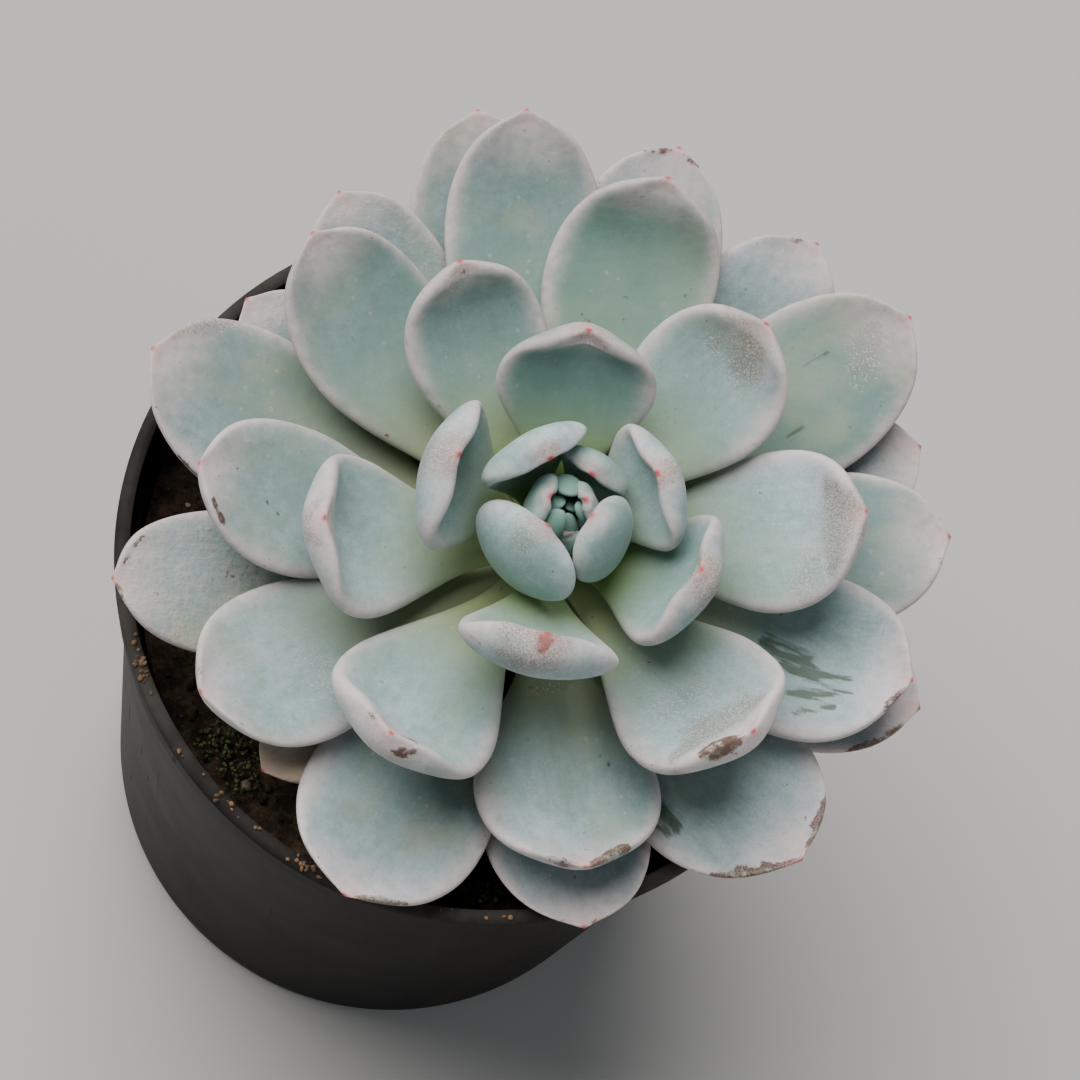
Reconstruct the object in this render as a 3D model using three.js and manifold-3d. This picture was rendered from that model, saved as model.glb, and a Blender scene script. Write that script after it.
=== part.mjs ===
// Potted succulent: a powdery rosette of thick spoon-shaped leaves in a round nursery pot.
// Millimetres, +Z up. The origin is the centre of the pot's flat underside.
import * as THREE from 'three';
import { mergeVertices } from 'three/addons/utils/BufferGeometryUtils.js';
import Module from 'manifold-3d';

const wasm = await Module();
wasm.setup();

// ---------- Driving dimensions ----------
const clearance = 0.3;          // gap between pieces that touch

const potRimDiameter = 90;
const potBaseDiameter = 76;
const potHeight = 92;
const potWall = 1.3;
const potFloor = 1.8;
const potCollarHeight = 8;      // upright band under the rim
const potCollarStep = 1.4;      // how far the band stands out from the tapered body
const potRimBead = 0.6;         // rounded bead outside the rim
const potBaseFillet = 1.5;
const potSides = 56;
const drainHoleDiameter = 8;
const drainHoleCount = 6;
const drainCircleDiameter = 48;

const soilDepthBelowRim = 10;   // at the wall
const soilCrown = 2.5;          // how much the soil is heaped towards its middle
const soilRings = 6;

const rosetteDiameter = 106;
const rosetteRise = 37;         // lowest leaf base to the highest leaf tips
const rosetteLift = 4;          // lowest leaf base above the soil at the wall
const rosetteOffset = [6, -1];  // the plant grew a little off the pot's middle
const stemDiameter = 12;
const stemTopDiameter = 4;
const rootDepth = 14;           // root crown below the soil's top
const rootTipDiameter = 5;
const leafWidth = 20;
const leafThickness = 4.6;
const leafBaseWidth = 3.2;
const leafBaseThickness = 1.5;
const leafPoint = 1.0;          // length of the small point at a leaf's end

// ---------- Leaves, oldest and lowest first ----------
// Each row is one leaf: azimuth in degrees, then its tip's distance from the rosette's axis,
// its tip's height above the lowest leaf base, and its width, each per cent of
// rosetteDiameter / 2, rosetteRise and leafWidth. A fifth value is the slope of its end in
// degrees, where that isn't the tier's.
const tiers = [
  {
    name: 'lowest',
    start: -2, end: 14, cup: 0.04, thickness: 0.7, seat: [0.00, 0.08],
    leaves: [
      [218, 79, 22, 60], [137, 90, 27, 85], [18, 95, 30, 90], [276, 84, 24, 100], [339, 93, 28, 95],
    ],
  },
  {
    name: 'outer',
    start: 0, end: 26, cup: 0.06, thickness: 0.85, seat: [0.16, 0.34],
    leaves: [
      [240, 91, 26, 115], [49, 102, 38, 95], [97, 107, 43, 100], [309, 90, 28, 115],
      [3, 94, 36, 100], [153, 99, 35, 105], [71, 103, 45, 100], [185, 97, 38, 90],
      [119, 95, 43, 92],
    ],
  },
  {
    name: 'broad',
    start: 6, end: 40, cup: 0.09, thickness: 1.0, seat: [0.36, 0.52],
    leaves: [
      [275, 74, 44, 110], [170, 80, 54, 92], [33, 102, 48, 105], [128, 87, 52, 95],
      [339, 87, 46, 107], [205, 86, 49, 100], [92, 102, 52, 100],
    ],
  },
  {
    name: 'middle',
    start: 20, end: 58, cup: 0.12, thickness: 1.0, seat: [0.54, 0.70],
    leaves: [
      [232, 63, 73, 102, 80], [2, 68, 74, 97], [72, 86, 68, 102], [310, 63, 76, 102, 74],
      [182, 53, 76, 97, 86], [44, 65, 73, 92], [111, 62, 78, 85],
    ],
  },
  {
    name: 'inner',
    start: 36, end: 108, cup: 0.16, thickness: 0.85, seat: [0.70, 0.80],
    leaves: [
      [84, 38, 88, 92, 72], [332, 32, 92, 86, 98], [258, 32, 95, 92, 112], [160, 27, 95, 90, 112],
      [20, 21, 86, 76, 118],
    ],
  },
  {
    name: 'core',
    start: 28, end: 145, cup: 0.14, thickness: 0.7, seat: [0.78, 0.86],
    leaves: [
      [120, 11, 86, 66], [224, 8, 88, 68], [326, 6, 88, 50, 135], [55, 10, 80, 42],
    ],
  },
  {
    name: 'heart',
    start: 75, end: 105, cup: 0.1, thickness: 0.45, seat: [0.92, 1.0],
    leaves: [[160, 5, 84, 32], [20, 4, 82, 24], [262, 4, 80, 24]],
  },
];

// ---------- Sizes that follow ----------
const rimRadius = potRimDiameter / 2;
const bodyTopRadius = rimRadius - potRimBead - potCollarStep;
const collarBottom = potHeight - potCollarHeight;
const soilEdgeHeight = potHeight - soilDepthBelowRim;
const seatHeight = soilEdgeHeight + rosetteLift;
const stemTop = seatHeight + rosetteRise * 0.66;
const soilAtStem = soilEdgeHeight + soilCrown;

const degrees = (angle) => THREE.MathUtils.degToRad(angle);

// Outside radius of the pot's tapered body at a height.
function bodyRadius(z) {
  const baseRadius = potBaseDiameter / 2;
  return baseRadius + (bodyTopRadius - baseRadius) * (z / collarBottom);
}

// Radius of the stem at a height: full low down, then narrowing to its growing tip.
function stemRadius(z) {
  const along = THREE.MathUtils.clamp((z - seatHeight) / (stemTop - seatHeight), 0, 1);
  return THREE.MathUtils.lerp(stemDiameter, stemTopDiameter, along ** 1.5) / 2;
}

// ---------- Solids ----------
function toSolid(geometry) {
  const bare = geometry.clone();
  bare.deleteAttribute('normal');
  bare.deleteAttribute('uv');
  const merged = mergeVertices(bare, 1e-4);
  return new wasm.Manifold(new wasm.Mesh({
    numProp: 3,
    vertProperties: Float32Array.from(merged.attributes.position.array),
    triVerts: Uint32Array.from(merged.index.array),
  }));
}

function toGeometry(solid) {
  const mesh = solid.getMesh();
  const geometry = new THREE.BufferGeometry();
  geometry.setAttribute('position', new THREE.BufferAttribute(mesh.vertProperties, 3));
  geometry.setIndex(new THREE.BufferAttribute(mesh.triVerts, 1));
  return geometry;
}

// A solid of revolution about +Z from (radius, height) points that run up its outside.
function turned(points, sides) {
  const profile = points.map(([radius, height]) => new THREE.Vector2(radius, height));
  return new THREE.LatheGeometry(profile, sides).rotateX(Math.PI / 2);
}

// ---------- Pot ----------
function potGeometry() {
  const baseRadius = potBaseDiameter / 2;
  const outside = [
    [0, 0],
    [baseRadius - potBaseFillet, 0],
    [bodyRadius(potBaseFillet), potBaseFillet],
    [bodyTopRadius, collarBottom],
    [rimRadius - potRimBead, collarBottom + potCollarStep],
    [rimRadius - potRimBead, potHeight - 3 * potRimBead],
    [rimRadius, potHeight - 2 * potRimBead],
    [rimRadius, potHeight - potRimBead],
    [rimRadius - potRimBead, potHeight],
  ];
  const inside = [
    [rimRadius - potRimBead - potWall, potHeight],
    [rimRadius - potRimBead - potWall, collarBottom + potCollarStep],
    [bodyTopRadius - potWall, collarBottom],
    [bodyRadius(potFloor) - potWall, potFloor],
    [0, potFloor],
  ];
  const holeRadius = drainHoleDiameter / 2;
  let pot = toSolid(turned([...outside, ...inside], potSides));
  for (let hole = 0; hole < drainHoleCount; hole += 1) {
    const angle = (2 * Math.PI * hole) / drainHoleCount;
    const drill = new THREE.CylinderGeometry(holeRadius, holeRadius, 3 * potFloor, 16);
    drill.rotateX(Math.PI / 2);
    drill.translate(
      (Math.cos(angle) * drainCircleDiameter) / 2,
      (Math.sin(angle) * drainCircleDiameter) / 2,
      potFloor / 2,
    );
    pot = pot.subtract(toSolid(drill));
  }
  return toGeometry(pot);
}

// ---------- Soil ----------
function soilGeometry() {
  const bottom = potFloor + clearance;
  const innerRadius = (z) => bodyRadius(z) - potWall - clearance;
  const topRadius = innerRadius(soilEdgeHeight);
  const outline = [[0, bottom], [innerRadius(bottom), bottom], [topRadius, soilEdgeHeight]];
  for (let ring = 1; ring <= soilRings; ring += 1) {
    const along = ring / soilRings;
    outline.push([topRadius * (1 - along), soilEdgeHeight + soilCrown * Math.sin((along * Math.PI) / 2)]);
  }
  const socket = stemOutline(stemTop, clearance);
  const hole = turned(socket, 24).translate(rosetteOffset[0], rosetteOffset[1], 0);
  return toGeometry(toSolid(turned(outline, potSides)).subtract(toSolid(hole)));
}

// ---------- Stem ----------
// Root crown, stem and growing tip up to a height, with an allowance all round.
function stemOutline(top, allowance) {
  const rootTip = soilAtStem - rootDepth;
  const outline = [
    [0, rootTip - allowance],
    [rootTipDiameter / 2 + allowance, rootTip - allowance],
    [stemDiameter / 2 + allowance, soilAtStem - 2],
  ];
  const steps = 6;
  for (let step = 0; step <= steps; step += 1) {
    const z = THREE.MathUtils.lerp(seatHeight, top, step / steps);
    outline.push([stemRadius(z) + allowance, z]);
  }
  outline.push([stemTopDiameter * 0.3 + allowance, top + stemTopDiameter * 0.3]);
  outline.push([0, top + stemTopDiameter * 0.4 + allowance]);
  return outline;
}

function stemGeometry(top) {
  return turned(stemOutline(top, 0), 20).translate(rosetteOffset[0], rosetteOffset[1], 0);
}

// ---------- Leaf ----------
const leafStations = [0, 0.13, 0.28, 0.43, 0.58, 0.71, 0.82, 0.91, 0.97];
// Around a section: across the leaf from -1 to 1, and which face, 1 the upper and -1 the lower.
const leafRing = [
  [-1, 0], [-0.84, -1], [-0.45, -1], [0, -1], [0.45, -1], [0.84, -1],
  [1, 0], [0.66, 1], [0, 1], [-0.66, 1],
];

// Share of the full width at a share of the length: narrow base, round spoon end.
function widthShare(along, baseShare) {
  const widest = 0.72;
  if (along < widest) {
    const grow = Math.sin((along / widest) * (Math.PI / 2));
    return baseShare + (1 - baseShare) * grow ** 1.6;
  }
  const past = (along - widest) / (1 - widest);
  return Math.sqrt(Math.max(0, 1 - past ** 2.2));
}

// Share of the full thickness: thick over the middle, rounded off at the end.
function thicknessShare(along, baseShare) {
  const thickest = 0.5;
  if (along < thickest) {
    const grow = Math.sin((along / thickest) * (Math.PI / 2));
    return baseShare + (1 - baseShare) * grow ** 1.6;
  }
  const past = (along - thickest) / (1 - thickest);
  return Math.sqrt(Math.max(0, 1 - past ** 3)) * (1 - 0.25 * past);
}

// Where a leaf's midline starts, as [radius, height]: against the stem, at the leaf's own height.
function leafBase(spec) {
  const lean = (spec.baseThickness / 2) * Math.sin(degrees(spec.start));
  return [stemRadius(spec.height) + clearance + lean, spec.height];
}

// One leaf as a closed loft round a curved midline that starts on the stem.
// spec: azimuth, height of its base, tip as [radius, height], start and end slope in degrees,
// width, thickness, cup; grow is an allowance all round.
function leafGeometry(spec, grow) {
  const out = new THREE.Vector3(Math.cos(degrees(spec.azimuth)), Math.sin(degrees(spec.azimuth)), 0);
  const across = new THREE.Vector3(-out.y, out.x, 0);
  const up = new THREE.Vector3(0, 0, 1);
  const at = (radius, height) => out.clone().multiplyScalar(radius).addScaledVector(up, height);
  const slope = (angle) => at(Math.cos(degrees(angle)), Math.sin(degrees(angle)));
  const base = at(...leafBase(spec));
  const tip = at(...spec.tip);
  const pull = base.distanceTo(tip) * 0.4;
  const midline = new THREE.CubicBezierCurve3(
    base,
    base.clone().addScaledVector(slope(spec.start), pull),
    tip.clone().addScaledVector(slope(spec.end), -pull),
    tip,
  );
  const positions = [];
  for (const along of leafStations) {
    const centre = midline.getPoint(along);
    const tangent = midline.getTangent(along);
    const normal = new THREE.Vector3().crossVectors(tangent, across).normalize();
    const halfWidth = (spec.width / 2) * widthShare(along, spec.baseWidth / spec.width) + grow;
    const half = (spec.thickness / 2) * thicknessShare(along, spec.baseThickness / spec.thickness) + grow;
    for (const [side, face] of leafRing) {
      const rounded = Math.sqrt(1 - Math.abs(side) ** 2.4);
      const depth = face > 0 ? half * 0.8 : half * 1.2;
      const rise = face * depth * rounded + spec.cup * spec.width * (side ** 2 - 0.5) * along;
      const point = centre.clone();
      point.addScaledVector(across, side * halfWidth);
      point.addScaledVector(normal, rise);
      positions.push(point.x, point.y, point.z);
    }
  }
  const ring = leafRing.length;
  const last = (leafStations.length - 1) * ring;
  const basePole = positions.length / 3;
  const point = tip.clone().addScaledVector(midline.getTangent(1), leafPoint + grow);
  positions.push(base.x, base.y, base.z, point.x, point.y, point.z);
  const index = [];
  for (let side = 0; side < ring; side += 1) {
    const next = (side + 1) % ring;
    for (let row = 0; row < last; row += ring) {
      index.push(row + side, row + next, row + ring + side);
      index.push(row + next, row + ring + next, row + ring + side);
    }
    index.push(basePole, next, side);
    index.push(basePole + 1, last + side, last + next);
  }
  const geometry = new THREE.BufferGeometry();
  geometry.setAttribute('position', new THREE.Float32BufferAttribute(positions, 3));
  geometry.setIndex(index);
  return geometry.translate(rosetteOffset[0], rosetteOffset[1], 0);
}

// The leaves' sizes and places, before they are settled on each other.
function leafSpecs() {
  const specs = [];
  for (const tier of tiers) {
    tier.leaves.forEach(([azimuth, reach, rise, width, end = tier.end], order) => {
      const share = THREE.MathUtils.lerp(...tier.seat, order / Math.max(1, tier.leaves.length - 1));
      specs.push({
        name: `leaf_${tier.name}_${String(order + 1).padStart(2, '0')}`,
        azimuth,
        height: THREE.MathUtils.lerp(seatHeight, stemTop, share),
        tip: [((reach / 100) * rosetteDiameter) / 2, seatHeight + (rise / 100) * rosetteRise],
        start: tier.start,
        end,
        cup: tier.cup,
        width: (width / 100) * leafWidth,
        thickness: tier.thickness * leafThickness,
        baseWidth: leafBaseWidth,
        baseThickness: leafBaseThickness,
      });
    });
  }
  return specs;
}

// ---------- Settling ----------
// Each leaf starts at its own place and slides up the stem, a little at a time, until it
// clears the pot, the soil, the stem and every leaf below it.
const settlingStep = 0.25;

function settle(spec, placed) {
  let swollen = toSolid(leafGeometry(spec, clearance / 2));
  while (placed.some((solid) => !swollen.intersect(solid).isEmpty())) {
    spec.height += settlingStep;
    spec.tip[1] += settlingStep;
    swollen = toSolid(leafGeometry(spec, clearance / 2));
  }
  return swollen;
}

// ---------- Assembly ----------
const group = new THREE.Group();

function addPart(name, geometry, color, roughness) {
  const mesh = new THREE.Mesh(geometry, new THREE.MeshStandardMaterial({ color, roughness, metalness: 0 }));
  mesh.name = name;
  group.add(mesh);
}

// The stem grows as tall as the highest leaf base on it.
const specs = leafSpecs();
const placed = [toSolid(potGeometry()), toSolid(soilGeometry())];
let stemReach = stemTop;
for (const spec of specs) {
  const stem = toSolid(stemGeometry(stemReach));
  placed.push(settle(spec, [...placed, stem]));
  stemReach = Math.max(stemReach, spec.height);
}

addPart('pot', potGeometry(), 0x0b0b0d, 0.35);
addPart('soil', soilGeometry(), 0x231a12, 0.95);
addPart('stem', stemGeometry(stemReach), 0x6f7a4a, 0.7);
for (const spec of specs) {
  addPart(spec.name, leafGeometry(spec, 0), 0xa9bdb4, 0.75);
}

export default group;
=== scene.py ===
# Potted succulent: the looks of its leaves, stem, soil and pot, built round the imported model.
import math
import random
import bmesh
import bpy
import numpy as np
from mathutils import Matrix, Vector, noise


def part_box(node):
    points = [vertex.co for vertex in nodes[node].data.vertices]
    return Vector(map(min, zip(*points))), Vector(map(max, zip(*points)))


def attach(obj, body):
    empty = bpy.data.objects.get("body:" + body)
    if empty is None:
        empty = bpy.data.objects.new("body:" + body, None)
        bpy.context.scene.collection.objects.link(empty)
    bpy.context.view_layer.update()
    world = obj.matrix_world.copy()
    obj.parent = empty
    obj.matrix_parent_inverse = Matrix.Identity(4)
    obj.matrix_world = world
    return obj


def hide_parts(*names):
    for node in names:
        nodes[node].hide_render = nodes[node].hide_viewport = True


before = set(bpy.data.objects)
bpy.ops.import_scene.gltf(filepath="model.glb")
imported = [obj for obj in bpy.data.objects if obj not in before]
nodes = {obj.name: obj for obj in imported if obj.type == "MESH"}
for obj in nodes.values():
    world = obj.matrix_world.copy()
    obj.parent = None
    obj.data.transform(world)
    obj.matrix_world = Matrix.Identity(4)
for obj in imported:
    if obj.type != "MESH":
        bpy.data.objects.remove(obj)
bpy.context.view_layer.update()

potLow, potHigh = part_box("pot")
soilLow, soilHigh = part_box("soil")
stemLow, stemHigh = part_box("stem")
rosetteAxis = Vector(((stemLow.x + stemHigh.x) / 2, (stemLow.y + stemHigh.y) / 2, 0))


def deselectAll():
    if bpy.context.object and bpy.context.object.mode != "OBJECT":
        bpy.ops.object.mode_set(mode="OBJECT")
    bpy.ops.object.select_all(action="DESELECT")


def makeActive(piece):
    deselectAll()
    piece.select_set(True)
    bpy.context.view_layer.objects.active = piece


def applyModifier(piece, kind, **settings):
    makeActive(piece)
    modifier = piece.modifiers.new(kind.lower(), kind)
    for key, value in settings.items():
        setattr(modifier, key, value)
    bpy.ops.object.modifier_apply(modifier=modifier.name)


def faceOutwards(piece):
    makeActive(piece)
    bpy.ops.object.mode_set(mode="EDIT")
    bpy.ops.mesh.select_all(action="SELECT")
    bpy.ops.mesh.normals_make_consistent(inside=False)
    bpy.ops.object.mode_set(mode="OBJECT")


def readVectors(mesh, what):
    flat = np.zeros(len(mesh.vertices) * 3)
    mesh.vertices.foreach_get(what, flat)
    return flat.reshape(-1, 3)


def writePoints(mesh, points):
    mesh.vertices.foreach_set("co", np.asarray(points, float).ravel())
    mesh.update()


def writeAttribute(mesh, name, values):
    layer = mesh.attributes.get(name) or mesh.attributes.new(name, "FLOAT", "POINT")
    layer.data.foreach_set("value", np.asarray(values, float))


def readAttribute(mesh, name):
    values = np.zeros(len(mesh.vertices))
    mesh.attributes[name].data.foreach_get("value", values)
    return values


def smoothStep(low, high, value):
    share = np.clip((value - low) / (high - low), 0, 1)
    return share * share * (3 - 2 * share)


def finishPiece(piece, node, material):
    piece.data.materials.clear()
    piece.data.materials.append(material)
    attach(piece, "root")
    if node:
        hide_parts(node)


def colour(red, green, blue):
    # 0 to 255 as seen on a screen, to the light that a shader wants
    def light(value):
        share = value / 255
        return share / 12.92 if share <= 0.04045 else ((share + 0.055) / 1.055) ** 2.4
    return (light(red), light(green), light(blue), 1.0)


class Surface:
    # a short way to write a material's nodes
    def __init__(self, name):
        self.material = bpy.data.materials.new(name)
        self.material.use_nodes = True
        self.tree = self.material.node_tree
        self.shader = self.tree.nodes["Principled BSDF"]
        self.place = self.tree.nodes.new("ShaderNodeTexCoord").outputs["Object"]

    def put(self, socket, value):
        if isinstance(value, bpy.types.NodeSocket):
            self.tree.links.new(value, socket)
        else:
            socket.default_value = value

    def finish(self, **inputs):
        for name, value in inputs.items():
            self.put(self.shader.inputs[name.replace("_", " ")], value)
        return self.material

    def attribute(self, name):
        node = self.tree.nodes.new("ShaderNodeAttribute")
        node.attribute_name = name
        return node.outputs["Fac"]

    def noise(self, scale, detail=4, roughness=0.55, place=None):
        node = self.tree.nodes.new("ShaderNodeTexNoise")
        self.put(node.inputs["Vector"], place or self.place)
        node.inputs["Scale"].default_value = scale
        node.inputs["Detail"].default_value = detail
        node.inputs["Roughness"].default_value = roughness
        return node.outputs["Fac"]

    def cells(self, scale):
        node = self.tree.nodes.new("ShaderNodeTexVoronoi")
        self.put(node.inputs["Vector"], self.place)
        node.inputs["Scale"].default_value = scale
        return node.outputs["Distance"]

    def stretched(self, x, y, z):
        node = self.tree.nodes.new("ShaderNodeMapping")
        self.put(node.inputs["Vector"], self.place)
        node.inputs["Scale"].default_value = (x, y, z)
        return node.outputs["Vector"]

    def combine(self, x, y, z):
        node = self.tree.nodes.new("ShaderNodeCombineXYZ")
        for socket, value in zip(node.inputs, (x, y, z)):
            self.put(socket, value)
        return node.outputs["Vector"]

    def ramp(self, value, low, high, bottom=0.0, top=1.0):
        node = self.tree.nodes.new("ShaderNodeMapRange")
        node.interpolation_type = "SMOOTHSTEP"
        self.put(node.inputs["Value"], value)
        node.inputs["From Min"].default_value = low
        node.inputs["From Max"].default_value = high
        self.put(node.inputs["To Min"], bottom)
        self.put(node.inputs["To Max"], top)
        return node.outputs["Result"]

    def math(self, operation, first, second):
        node = self.tree.nodes.new("ShaderNodeMath")
        node.operation = operation
        self.put(node.inputs[0], first)
        self.put(node.inputs[1], second)
        return node.outputs[0]

    def times(self, first, second):
        return self.math("MULTIPLY", first, second)

    def plus(self, first, second):
        return self.math("ADD", first, second)

    def mix(self, share, first, second):
        node = self.tree.nodes.new("ShaderNodeMix")
        node.data_type = "RGBA"
        self.put(node.inputs[0], share)
        self.put(node.inputs[6], first)
        self.put(node.inputs[7], second)
        return node.outputs[2]

    def bump(self, height, strength, distance, below=None):
        node = self.tree.nodes.new("ShaderNodeBump")
        node.inputs["Strength"].default_value = strength
        node.inputs["Distance"].default_value = distance
        self.put(node.inputs["Height"], height)
        if below:
            self.put(node.inputs["Normal"], below)
        return node.outputs["Normal"]


leafLook = {
    "skinOuter": colour(92, 116, 107),
    "skinCore": colour(88, 132, 116),
    "bloomOuter": colour(193, 206, 220),   # the powder that lies on the skin
    "bloomCore": colour(190, 214, 216),
    "margin": colour(222, 201, 199),       # rosy powder along the edges
    "base": colour(150, 172, 110),
    "baseOuter": colour(158, 156, 122),
    "glow": colour(112, 150, 44),          # green light deep between the young leaves
    "warm": colour(156, 164, 132),         # olive patches, most of them on old leaves
    "dry": colour(180, 160, 136),
    "point": colour(186, 78, 82),
    "blush": colour(206, 150, 148),
    "scab": colour(84, 52, 38),
    "bare": colour(92, 82, 50),
    "rubbed": colour(52, 72, 46),
    "dust": colour(116, 104, 86),
    "red": colour(124, 54, 42),
    "roughness": 0.62,
    "sheen": 0.18,
    "flesh": (0.7, 1.0, 0.5),              # how the light spreads under the skin, for each colour
    "fleshDepth": 0.0016,
    "dropSpots": 520,                      # spots and pores to the metre
    "ragged": 2.2,                         # how torn the outlines of scabs and bare margins are
    "subdivision": 3,
    "tipCrease": 0.7,
    "softening": {"heart": 10, "core": 26, "inner": 70, "middle": 70,
                  "broad": 70, "outer": 50, "lowest": 40},          # passes that round off the end
    "end": {"heart": 0.0004, "core": 0.0009, "inner": 0.0016, "middle": 0.0012,
            "broad": 0.0004, "outer": 0.0002, "lowest": 0.0},       # extra flesh over the point
    "plump": {"heart": 0.0006, "core": 0.0005, "inner": 0.0006, "middle": 0.0006,
              "broad": 0.0004, "outer": 0.0004, "lowest": 0.0003},    # extra flesh at the margins
    "dentSize": 0.012,                     # slight swells and hollows in the flesh
    "dentDepth": 0.0003,
    "tips": 0.00075,                       # how far round the hard point is red
}
ringCount = 10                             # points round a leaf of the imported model


def margin(edge, low, high):
    # a stroke along one edge of a leaf: 1 is the left edge and -1 the right
    return [(low + (high - low) * step / 6, edge) for step in range(7)]


# Marks on the leaves: kind, a stroke of (along, across) points, its half width in mm and its strength.
# Along runs from 0 at the base to 1 at the tip; across from -1 at the right edge to 1 at the left.
leafMarks = {
    "lowest_04": [("bare", margin(-1, 0.96, 0.995), 0.5, 0.8), ("bare", margin(1, 0.97, 0.995), 0.5, 0.8)],
    "lowest_05": [("bare", margin(-1, 0.85, 0.97), 1.2, 1.0)],
    "outer_01": [("bare", margin(1, 0.92, 0.995), 0.8, 1.0), ("dust", [(0.45, 0.1), (0.5, 0.4)], 1.5, 0.4)],
    "outer_02": [("scab", margin(1, 0.95, 0.99), 0.6, 0.7)],
    "outer_03": [("dust", margin(1, 0.9, 0.98), 1.0, 0.5)],
    "outer_04": [("bare", margin(-1, 0.86, 0.995), 1.5, 1.0), ("bare", margin(1, 0.89, 0.99), 0.9, 1.0),
                 ("rubbed", [(0.6, -0.78), (0.68, -0.72)], 1.6, 0.8)],
    "outer_06": [("dust", margin(-1, 0.83, 0.975), 1.5, 0.8), ("bare", margin(1, 0.66, 0.8), 0.5, 0.9)],
    "outer_07": [("scab", margin(1, 0.96, 0.995), 0.9, 0.9), ("scab", margin(-1, 0.97, 0.995), 0.7, 0.8)],
    "outer_08": [("bare", [(0.97, -0.6), (0.94, -0.78), (0.9, -0.84)], 0.3, 1.0),
                 ("scab", margin(1, 0.975, 0.995), 0.4, 0.8)],
    "broad_01": [("bare", margin(1, 0.93, 0.995), 0.9, 1.0), ("bare", margin(-1, 0.955, 0.995), 0.6, 0.9),
                 ("rubbed", [(0.52, 0.35), (0.58, 0.5), (0.68, 0.62), (0.74, 0.6)], 0.22, 0.8),
                 ("dust", [(0.3, -0.4), (0.29, 0.4)], 0.8, 0.4)],
    "broad_02": [("scab", [(0.935, 0.8), (0.88, 0.86)], 0.38, 1.0),
                 ("rubbed", [(0.74, 0.15), (0.62, 0.45)], 0.1, 0.8)],
    "broad_03": [("rubbed", [(0.68, 0.3), (0.78, 0.25)], 0.45, 0.5),
                 ("rubbed", [(0.58, -0.35), (0.62, -0.3)], 0.8, 0.5),
                 ("dust", [(0.92, 0.3), (0.87, 0), (0.8, -0.3)], 2.2, 0.5)],
    "broad_04": [("dust", margin(1, 0.93, 0.99), 0.9, 0.5)],
    "broad_05": [("rubbed", [(0.56, -0.04), (0.68, -0.1)], 1.3, 1.0),
                 ("rubbed", [(0.6, -0.3), (0.74, -0.2), (0.84, -0.12)], 0.75, 1.0),
                 ("rubbed", [(0.62, -0.58), (0.72, -0.47), (0.84, -0.32)], 0.85, 1.0),
                 ("rubbed", [(0.7, -0.7), (0.8, -0.58)], 0.45, 0.9),
                 ("bare", margin(-1, 0.95, 0.99), 0.6, 1.0)],
    "broad_06": [("dust", [(0.62, 0.1), (0.6, 0.5)], 2.0, 0.3), ("dust", margin(-1, 0.9, 0.99), 0.9, 0.5)],
    "broad_07": [("dust", margin(1, 0.9, 0.99), 0.8, 0.4)],
    "middle_01": [("scab", [(0.965, 0.5), (0.95, 0.62)], 0.55, 1.0), ("scab", [(0.86, 0.62)], 0.2, 0.9),
                  ("dust", [(0.95, -0.4), (0.94, 0.5)], 1.6, 0.6)],
    "middle_02": [("dust", [(0.86, 0.55), (0.91, 0.05), (0.86, -0.75)], 3.0, 1.0),
                  ("dust", [(0.78, -0.5), (0.74, -0.85)], 2.0, 0.6)],
    "middle_04": [("dust", [(0.82, -0.85), (0.78, -0.3), (0.83, 0.3), (0.88, 0.6)], 2.4, 0.95),
                  ("scab", margin(-1, 0.915, 0.985), 0.75, 1.0),
                  ("dust", [(0.6, -0.5), (0.62, 0.1)], 1.8, 0.35)],
    "middle_05": [("dust", [(0.955, -0.6), (0.93, 0), (0.945, 0.6)], 1.4, 0.75),
                  ("scab", [(0.87, 0.42), (0.85, 0.52)], 0.25, 0.9), ("scab", [(0.8, 0.66)], 0.15, 0.9)],
    "middle_06": [("dust", [(0.82, -0.2), (0.9, -0.08)], 2.1, 1.0),
                  ("dust", [(0.8, 0.35), (0.86, 0.15)], 1.2, 0.6),
                  ("dust", margin(1, 0.93, 0.99), 1.0, 0.6)],
    "middle_07": [("dust", [(0.95, 0.05), (0.93, 0.25)], 1.2, 0.6)],
    "inner_01": [("dust", [(0.95, -0.35), (0.975, 0)], 1.5, 0.6)],
    "inner_02": [("dust", [(0.95, 0.05), (0.87, -0.2)], 2.0, 0.8)],
    "inner_03": [("dust", [(0.88, -0.4), (0.95, 0)], 2.6, 0.9),
                 ("red", [(0.985, 0.02), (0.96, -0.14)], 0.6, 1.0)],
    "inner_04": [("dust", [(0.96, 0.05), (0.84, 0.1)], 2.2, 0.75)],
    "inner_05": [("dust", [(0.96, 0), (0.84, 0)], 1.2, 0.8)],
    "core_01": [("dust", [(0.95, -0.15)], 1.2, 0.6)],
    "core_02": [("dust", [(0.95, -0.1), (0.86, -0.25)], 1.5, 0.7)],
}
# How thickly the powder lies, where it isn't 1: on all of a tier, and on leaves that differ from their
# tier. Thinner powder leaves a leaf darker, so the low values on the heart and on some of the leaves are
# partly real powder and partly painted shade
powder = {"heart": 0.5, "broad": 0.85, "outer": 0.7, "lowest": 0.65,
          "middle_03": 0.15, "middle_07": 0.35, "broad_03": 0.25, "broad_04": 0.35, "broad_07": 0.35,
          "outer_05": 0.35, "outer_06": 0.5, "inner_01": 0.25, "inner_02": 0.7, "middle_06": 0.55,
          "core_03": 0.6, "core_04": 0.45, "outer_04": 0.8}
# How far a leaf has dried
dryLeaves = {"lowest_01": 1.0, "lowest_02": 0.25, "lowest_03": 0.3, "lowest_04": 0.2, "lowest_05": 0.25,
             "outer_04": 0.12, "outer_08": 0.36, "outer_09": 0.2}


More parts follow.
